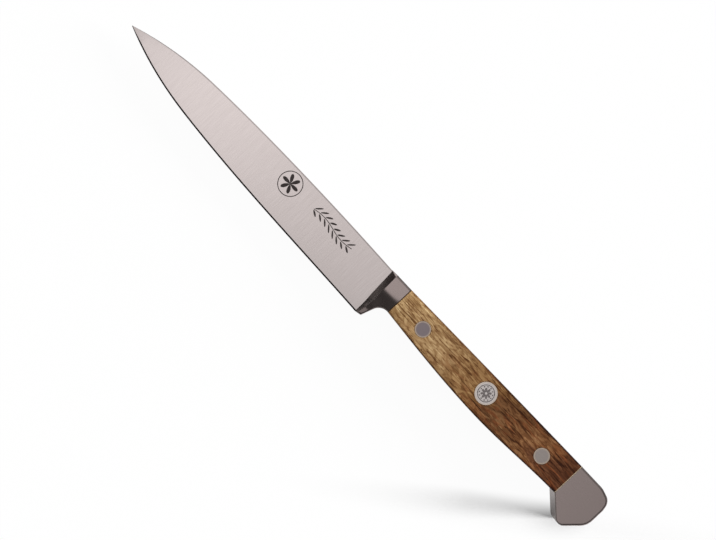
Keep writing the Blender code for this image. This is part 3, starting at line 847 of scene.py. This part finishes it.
def makeOak():
    # old barrel oak, sanded and oiled: open pores, dark tannin streaks and a change of tone behind
    # the middle, so that it looks dry and warm, with a soft sheen
    material, tree, shader, place = newMaterial("oiledBarrelOak")
    leaning = addNode(tree, "VectorRotate", {
        "Vector": place, "Angle": oak["grainLean"],
    }, rotation_type="Z_AXIS")

    def grain(turn, long, wide, detail, distortion, low, high, most):
        noise = noiseOver(
            tree, leaning, (long, wide, wide), detail, oak["noiseRoughness"], distortion,
            [turn * step for step in oak["layerShift"]],
        )
        return fade(tree, noise, low, high, 0.0, most, soft=True)

    x, y = axisOf(tree, place, "X"), axisOf(tree, place, "Y")
    bowed = maths(tree, "MULTIPLY_ADD", maths(tree, "POWER", y, 2.0), -oak["toneBow"], x)
    drift = grain(oak["driftTurn"], *oak["drift"], oak["toneDrift"])
    drifted = maths(tree, "ADD", bowed, drift)
    start, end = oak["tones"][0][0], oak["tones"][-1][0]
    tone = fade(tree, drifted, start + oak["toneDrift"] / 2, end + oak["toneDrift"] / 2)
    colour = addNode(tree, "ValToRGB", {0: tone})
    stops = colour.node.color_ramp.elements
    while len(stops) < len(oak["tones"]):
        stops.new(0.5)
    for stop, (spot, tint) in zip(stops, oak["tones"]):
        stop.position = (spot - start) / (end - start)
        stop.color = linear(tint)

    behind = fade(tree, x, *oak["change"])
    share = fade(tree, behind, 0.0, 1.0, oak["warmthInFront"])
    warmth = maths(tree, "MULTIPLY", grain(oak["warmthTurn"], *oak["warmth"]), share)
    colour = tinted(tree, colour, (warmth, oak["warm"]))

    # every layer of grain darkens or lightens what is left
    value = 1.0
    shares = {}
    for turn, name in enumerate(oak["grain"]):
        shares[name] = grain(turn, *oak["grain"][name])
        kept = maths(tree, "SUBTRACT", 1.0, shares[name])
        value = maths(tree, "MULTIPLY", value, kept)
    facing = addNode(tree, "TexCoord", out="Normal")
    upward = maths(tree, "ABSOLUTE", axisOf(tree, facing, "Z"))
    # painted shade: the rounded edges are darkened as they turn from up, more at the spine than at
    # the belly
    paintedEdgeShade = fade(tree, upward, *oak["paintedEdgeShade"], soft=True)
    atSpine = fade(tree, behind, 0.0, 1.0, *oak["edgeShadeAtSpine"])
    atBelly = fade(tree, x, *oak["guardChange"], *oak["edgeShadeAtBelly"])
    left = fade(tree, axisOf(tree, facing, "Y"), *oak["edgeShadeSides"], atBelly, atSpine)
    left = addNode(tree, "Mix", {0: paintedEdgeShade, 2: 1.0, 3: left}, data_type="FLOAT")
    value = maths(tree, "MULTIPLY", value, left)
    for limits in oak["sideTones"]:
        value = maths(tree, "MULTIPLY", value, fade(tree, y, *limits, soft=True))
    powers = [maths(tree, "POWER", value, power) for power in oak["brown"]]
    browned = addNode(tree, "CombineXYZ", dict(enumerate(powers)))
    colour = addNode(tree, "Mix", {
        0: 1.0, 6: colour, 7: browned,
    }, out=2, data_type="RGBA", blend_type="MULTIPLY")
    joint = maths(tree, "LESS_THAN", x, scalesStart / mm + oak["jointWidth"])
    # painted highlight: a pale line along the joint with the butt cap
    jointHighlight = maths(tree, "GREATER_THAN", x, scalesEnd / mm - oak["jointHighlightWidth"])
    colour = tinted(tree, colour, (joint, oak["resin"]), (jointHighlight, oak["jointHighlight"]))

    opened = maths(tree, "ADD", shares["hairs"], shares["pores"])
    opened = maths(tree, "ADD", opened, shares["streaks"])
    rough = fade(tree, shares["pores"], 0.0, 1.0, *oak["roughness"])
    setSurface(tree, shader, colour, rough, opened, -oak["poreDepth"], oak["poreStrength"])
    shader["Specular IOR Level"].default_value = oak["specular"]
    return material


rivetSteel = {
    "frontColour": "#857A7D",
    "coinColour": "#D8D0CD",
    "rearColour": "#ABA19C",
    "rimHighlightColour": "#E0C8AE",
    "rimHighlightWidth": 0.35,  # mm, a painted highlight round the head's edge
    "rimHighlightShare": 0.7,
    "sunkColour": "#827A79",
    "sunkDepths": (0.2, 0.7),  # shares of the ornament's depth where the dark starts and is full
    "roughness": 0.33,
    "brushSizes": (5.0, 0.12, 0.12),  # mm
    "brushNoise": (3.0, 0.6),  # detail and roughness
    "brushRange": (0.3, 0.7),
    "brushShare": 0.2,
    "brushDepth": 0.003 * mm,
}


def makeRivetSteel(name, colour, headDiameter):
    # stainless rod, filed and sanded flush with the wood: dull, brushed one way, with a painted
    # highlight round the rim, and dark where the ornament is sunk
    material, tree, shader, place = newMaterial(name)
    lines = noiseOver(tree, place, rivetSteel["brushSizes"], *rivetSteel["brushNoise"])
    tone = fade(tree, lines, *rivetSteel["brushRange"], 0.0, rivetSteel["brushShare"])
    head = headDiameter / 2 / mm
    radius = lengthOf(tree, place, (1, 1, 0))
    # painted highlight round the head's edge
    rim = fade(tree, radius, head - 2 * rivetSteel["rimHighlightWidth"], head, 0.0, rivetSteel["rimHighlightShare"])
    height = maths(tree, "ABSOLUTE", axisOf(tree, place, "Z"))
    depths = [(half - share * coin["depth"]) / mm for share in rivetSteel["sunkDepths"]]
    sunk = fade(tree, height, *depths)
    steel = tinted(
        tree, linear(colour), (tone, rivetSteel["sunkColour"]), (rim, rivetSteel["rimHighlightColour"]),
        (sunk, rivetSteel["sunkColour"]),
    )
    setSurface(tree, shader, steel, rivetSteel["roughness"], lines, rivetSteel["brushDepth"])
    shader["Metallic"].default_value = 1.0
    return material


# The knife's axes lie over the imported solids: the tip, the lowest edge and the middle plane agree
knifeOrigin = Vector((
    cadLow.x - blade["tipBlunting"],
    cadLow.y + blade["edgeAtHeel"],
    (cadLow.z + cadHigh.z) / 2,
))
sharpFrom = math.radians(15)  # edges that turn by more than this stay crisp


def putObject(name, data):
    body = bpy.data.objects.new(name, data)
    bpy.context.scene.collection.objects.link(body)
    return body


def keepFlat(piece):
    # the wide flats keep their own normals, so that only the rounded edges shade round
    piece.data.set_sharp_from_angle(angle=sharpFrom)
    modifier = piece.modifiers.new("keepFlat", "WEIGHTED_NORMAL")
    modifier.keep_sharp = True


def putPiece(name, mesh, material, slot, *nodes, spot=(0, 0), flip=False):
    piece = putObject(name, mesh)
    piece.location = knifeOrigin + Vector((*spot, 0))
    if flip:
        mesh.transform(Matrix.Scale(-1, 4, (0, 0, 1)))
        mesh.flip_normals()
    mesh.materials.clear()
    mesh.materials.append(material)
    mesh.shade_smooth()
    keepFlat(piece)
    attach(piece, "root")
    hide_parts(*nodes)
    return piece


def cutSeats(piece, side):
    # opens the holes of a scale: a seat for each rivet head and a bore for its shank
    piece.modifiers.clear()
    gap, thick = rivets["headClearance"], rivets["headThickness"]
    for name, x, y, size in rivets["places"]:
        shank, head = rivets["shank"] / 2 + gap, rivets[size] / 2 + gap
        seat, clear = half - thick - gap, half + thick
        cutter = putObject("seatCutter", turned("seatCutter", (
            (0, 0), (shank, 0), (shank, seat), (head, seat), (head, clear), (0, clear),
        )))
        cutter.location = knifeOrigin + Vector((x, y, 0))
        if side < 0:
            cutter.rotation_euler = (math.pi, 0, 0)
        modifier = piece.modifiers.new(name, "BOOLEAN")
        modifier.object = cutter
        modifier.operation = "DIFFERENCE"
        modifier.solver = "EXACT"
        bpy.context.view_layer.update()
        graph = bpy.context.evaluated_depsgraph_get()
        cut = bpy.data.meshes.new_from_object(piece.evaluated_get(graph))
        piece.modifiers.clear()
        piece.data = cut
        bpy.data.objects.remove(cutter)
    cut.name = piece.name
    keepFlat(piece)


camera = {
    "place": (121.1 * mm, -0.9 * mm, 500 * mm),  # over the knife, in its own axes
    "turn": math.atan2(0.729, 0.684),  # the knife runs down to the right
    "lens": 69.2,
    "sensor": 36,
    "nearClip": 10 * mm,
}


def makeCamera():
    data = bpy.data.cameras.new("camera")
    data.lens = camera["lens"]
    data.sensor_width = camera["sensor"]
    data.clip_start = camera["nearClip"]
    body = putObject("camera", data)
    body.location = knifeOrigin + Vector(camera["place"])
    body.rotation_euler = (0, 0, camera["turn"])
    bpy.context.scene.camera = body


stage = {
    "size": 6.0,
    "paper": "#9E9E9E",  # as the object's light sees it, under the floor's own lamp too
    "seen": "#AFAFAF",  # the same for the eye, so that with all its light it is white
    "shadeKept": 0.04,  # how much of the floor's shade the white background keeps
    "shadeKeptAtButt": 0.86,  # and beside the butt cap, where the shadow is deepest
    "shadePlace": (239 * mm, -11 * mm),  # where that deeper shade starts, in the knife's axes
    "shadeLength": 115 * mm,
    "shadeWidth": 9.0 * mm,
    "shadeTurn": math.radians(38.2),  # from the knife's +x towards +y
}


def makeStage():
    side = stage["size"] / 2
    corners = [(x * side, y * side, 0) for x, y in ((-1, -1), (1, -1), (1, 1), (-1, 1))]
    mesh = bpy.data.meshes.new("floor")
    mesh.from_pydata(corners, [], [(0, 1, 2, 3)])
    floor = putObject("floor", mesh)
    material = bpy.data.materials.new("whiteBackdropPaper")
    material.use_nodes = True
    tree = material.node_tree
    tree.nodes.clear()
    middle = knifeOrigin + Vector((*stage["shadePlace"], -knifeOrigin.z))
    place = addNode(tree, "TexCoord", out="Object")
    spot = addNode(tree, "Mapping", {
        "Vector": place, "Location": middle, "Rotation": (0, 0, stage["shadeTurn"]),
        "Scale": (stage["shadeLength"], stage["shadeWidth"], 1),
    }, vector_type="TEXTURE")
    away = addNode(tree, "VectorMath", {0: spot}, out="Value", operation="LENGTH")
    kept = fade(tree, away, 0.0, 1.0, stage["shadeKeptAtButt"], stage["shadeKept"], soft=True)
    # the background is plain white for the rays that look at it, and paper for the light
    seen = addNode(tree, "LightPath", out="Is Camera Ray")
    for ray in ("Is Glossy Ray", "Is Transmission Ray"):
        seen = maths(tree, "MAXIMUM", seen, addNode(tree, "LightPath", out=ray))
    paper = addNode(tree, "BsdfDiffuse", {"Color": linear(stage["paper"])})
    shaded = addNode(tree, "BsdfDiffuse", {"Color": linear(stage["seen"])})
    glow = addNode(tree, "Emission", {"Color": (1, 1, 1, 1), "Strength": 1.0})
    white = addNode(tree, "MixShader", {0: kept, 1: glow, 2: shaded})
    both = addNode(tree, "MixShader", {0: seen, 1: paper, 2: white})
    tree.links.new(both, tree.nodes.new("ShaderNodeOutputMaterial").inputs["Surface"])
    mesh.materials.append(material)
    return floor


# The sky is a soft panel overhead: it fades towards the butt, and is dark past the tip and the edge
sky = {
    "dark": 0.09,
    "panel": 1.72,
    # by the x or y part of a direction: where each fade starts and ends, and its shares there
    "fades": (
        ("X", -0.5, -0.145, 0.0, 1.0),
        ("X", -0.15, -0.11, 1.0, 0.55),
        ("X", -0.06, 0.55, 1.0, 0.12),
        ("Y", -0.46, -0.16, 0.0, 1.0),
        ("Y", 0.2, 0.55, 1.0, 0.5),
    ),
}
# A wide lamp over the spine's side lights the object, and a low one only draws the floor's shadow
fill = {
    "power": 14.4,
    "size": 1.2,
    "distance": 1.5,
    "azimuth": math.radians(75),
    "height": math.radians(65),
}
low = {
    "strength": 17.0,
    "distance": 1.0,
    "angle": math.radians(20),
    "azimuth": math.radians(38.2),
    "height": math.radians(15),
}


def hangLamp(kind, settings):
    name = kind.lower() + "Lamp"
    lamp = putObject(name, bpy.data.lights.new(name, kind))
    azimuth, height = settings["azimuth"], settings["height"]
    level = math.cos(height)
    way = Vector((math.cos(azimuth) * level, math.sin(azimuth) * level, math.sin(height)))
    lamp.location = way * settings["distance"]
    lamp.rotation_euler = way.to_track_quat("Z", "Y").to_euler()
    lamp.visible_glossy = False
    return lamp


def makeLight(floor):
    world = bpy.data.worlds.new("softStudio")
    bpy.context.scene.world = world
    world.use_nodes = True
    tree = world.node_tree
    tree.nodes.clear()
    way = addNode(tree, "TexCoord", out="Generated")
    light = sky["panel"]
    for axis, *limits in sky["fades"]:
        left = fade(tree, axisOf(tree, way, axis), *limits, soft=True)
        light = maths(tree, "MULTIPLY", light, left)
    light = maths(tree, "ADD", light, sky["dark"])
    shine = addNode(tree, "Background", {"Color": (1, 1, 1, 1), "Strength": light})
    tree.links.new(shine, tree.nodes.new("ShaderNodeOutputWorld").inputs["Surface"])

    panel = hangLamp("AREA", fill)
    panel.data.shape = "DISK"
    panel.data.size = fill["size"]
    panel.data.energy = fill["power"]
    sun = hangLamp("SUN", low)
    sun.data.energy = low["strength"]
    sun.data.angle = low["angle"]
    onlyFloor = bpy.data.collections.new("litByLowLamp")
    onlyFloor.objects.link(floor)
    sun.light_linking.receiver_collection = onlyFloor


makeCamera()
makeLight(makeStage())
print("stage: camera, floor and light set")

ground, polished, wood = makeGroundSteel(), makeBuffedSteel(), makeOak()
small, large = rivets["smallHead"], rivets["coinHead"]
headSteel = {
    "front_rivet": makeRivetSteel("sandedRivetSteel", rivetSteel["frontColour"], small),
    "middle_rivet": makeRivetSteel("engravedRivetSteel", rivetSteel["coinColour"], large),
    "rear_rivet": makeRivetSteel("wornRivetSteel", rivetSteel["rearColour"], small),
}
print("stage: materials made")

putPiece("blade", makeBlade(), ground, "blade_steel", "blade_forging")
putPiece("bolster", makeBolster(), polished, "blade_steel", "blade_forging")
putPiece("tang", makeTang(), polished, "blade_steel", "blade_forging")
putPiece("buttCap", makeButt(), polished, "blade_steel", "blade_forging")
print("stage: forging made")

for side, name, node in ((1, "frontScale", "front_scale"), (-1, "backScale", "back_scale")):
    cutSeats(putPiece(name, makeScale(name), wood, "oak", node, flip=side < 0), side)
print("stage: scales made")

for name, x, y, size in rivets["places"]:
    barrel = makeCoinBarrel() if size == "coinHead" else makeBarrel(rivets[size])
    for twin, mesh in (("barrel", barrel), ("post", makePost(rivets[size]))):
        label = name.replace("_rivet", "Rivet") + twin.capitalize()
        putPiece(label, mesh, headSteel[name], "rivet_steel", f"{name}_{twin}", spot=(x, y))
print("stage: rivets made")

bpy.context.scene.view_settings.view_transform = "Standard"
